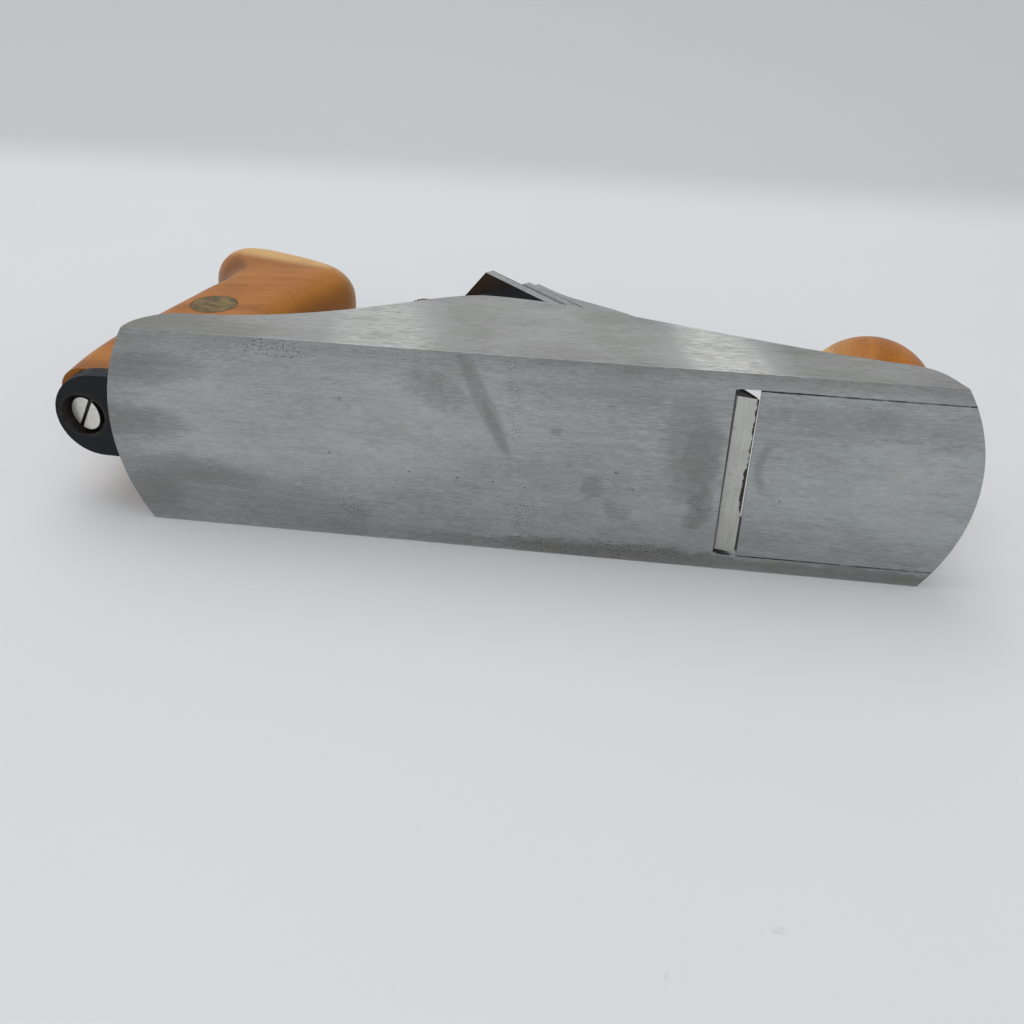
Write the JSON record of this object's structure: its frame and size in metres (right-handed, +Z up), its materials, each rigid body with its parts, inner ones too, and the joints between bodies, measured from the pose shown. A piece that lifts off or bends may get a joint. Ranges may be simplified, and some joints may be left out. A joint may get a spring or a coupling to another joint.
{
  "type": "smoothing plane",
  "caption": "Metal bench plane for smoothing wood, with a wooden ball knob and tote, a sliding toe plate that closes the mouth, and a wheel that sets the blade's depth.",
  "frame": {"origin": "middle of the object's bounding box on the plane of the sole", "axes": "+X towards the toe along the plane's length, +Y to the plane's left side across its width, +Z up from the sole to the handles"},
  "size_m": [0.2745, 0.064, 0.1426],
  "materials": {
    "ground_steel": "ground sole and sides, rough cast inside",
    "stud_steel": "turned",
    "washer_steel": "turned",
    "insert_brass": "turned",
    "knob_wood": "oiled, satin",
    "stop_steel": "black oxide",
    "black_casting": "satin black, with a machined bed",
    "cap_screw_steel": "black oxide",
    "blade_steel": "ground",
    "cap_steel": "ground",
    "oxide_steel": "black oxide",
    "lever_steel": "satin, bead blasted",
    "lever_screw_steel": "turned",
    "lever_brass": "knurled, satin",
    "carriage_steel": "black oxide",
    "spindle_steel": "turned",
    "collar_steel": "turned",
    "barrel_brass": "turned",
    "wheel_brass": "knurled, satin",
    "tote_wood": "oiled, satin",
    "bolt_steel": "bright",
    "nut_brass": "satin, dull",
    "dowel_steel": "ground"
  },
  "bodies": {
    "plane_body": {"body_casting": "ground_steel", "frog": "black_casting", "frog_screws": "cap_screw_steel", "tote": "tote_wood", "tote_bolt": "bolt_steel", "tote_barrel_nut": "nut_brass", "tote_dowel": "dowel_steel"},
    "mouth_plate": {"toe_plate": "ground_steel", "knob_stud": "stud_steel", "knob_washer": "washer_steel"},
    "knob": {"front_knob": "knob_wood", "knob_insert": "insert_brass"},
    "stop_screw": {"mouth_stop_screw": "stop_steel"},
    "swivel": {"adjuster_barrel": "barrel_brass"},
    "depth_screw": {"adjuster_spindle": "spindle_steel", "spindle_collar": "collar_steel", "adjuster_wheel": "wheel_brass"},
    "carriage": {"adjuster_carriage": "carriage_steel"},
    "blade_set": {"blade_iron": "blade_steel", "cap_iron": "cap_steel", "cap_iron_screw": "oxide_steel"},
    "lever_cap": {"lever_cap": "lever_steel"},
    "cap_wheel": {"lever_cap_wheel": "lever_brass"},
    "lever_screw": {"lever_cap_screw": "lever_screw_steel"}
  },
  "joints": [
    {"name": "toe_slide", "type": "slide", "parent": "plane_body", "child": "mouth_plate", "axis": [1, 0, 0], "range_m": [0, 0.006]},
    {"name": "knob_turn", "type": "hinge", "parent": "mouth_plate", "child": "knob", "pos_m": [0.11355, 0, 0.05], "axis": [0, 0, 1], "range_deg": [0, 360]},
    {"name": "stop_screw_turn", "type": "hinge", "parent": "plane_body", "child": "stop_screw", "pos_m": [0.1, 0, 0.0088], "axis": [1, 0, 0], "range_deg": [-180, 180]},
    {"name": "lateral_swing", "type": "hinge", "parent": "plane_body", "child": "swivel", "pos_m": [-0.00934, 0, 0.05913], "axis": [0.7071, 0, 0.7071], "range_deg": [-1.8, 1.8]},
    {"name": "depth_turn", "type": "hinge", "parent": "swivel", "child": "depth_screw", "pos_m": [-0.01641, 0, 0.0662], "axis": [0.7071, 0, -0.7071], "range_deg": [-1805, 92]},
    {"name": "carriage_slide", "type": "slide", "parent": "swivel", "child": "carriage", "axis": [0.7071, 0, -0.7071], "range_m": [-0.005, 0.00025]},
    {"name": "blade_lateral", "type": "hinge", "parent": "carriage", "child": "blade_set", "pos_m": [0.02234, 0, 0.05121], "axis": [0.7071, 0, 0.7071], "range_deg": [-2.55, 2.55]},
    {"name": "lever_cap_slide", "type": "slide", "parent": "plane_body", "child": "lever_cap", "axis": [-0.7071, 0, 0.7071], "range_m": [0, 0.011]},
    {"name": "cap_wheel_turn", "type": "hinge", "parent": "lever_cap", "child": "cap_wheel", "pos_m": [0.01527, 0, 0.0696], "axis": [0.7071, 0, 0.7071], "range_deg": [0, 360]},
    {"name": "lever_screw_turn", "type": "hinge", "parent": "plane_body", "child": "lever_screw", "pos_m": [0.03648, 0, 0.03707], "axis": [0.7071, 0, 0.7071], "range_deg": [-180, 180]}
  ],
  "couplings": [
    {"joint": "depth_turn", "follows": "carriage_slide", "rad_per_m": 6283.2},
    {"joint": "blade_lateral", "follows": "lateral_swing", "ratio": -1.3889}
  ]
}
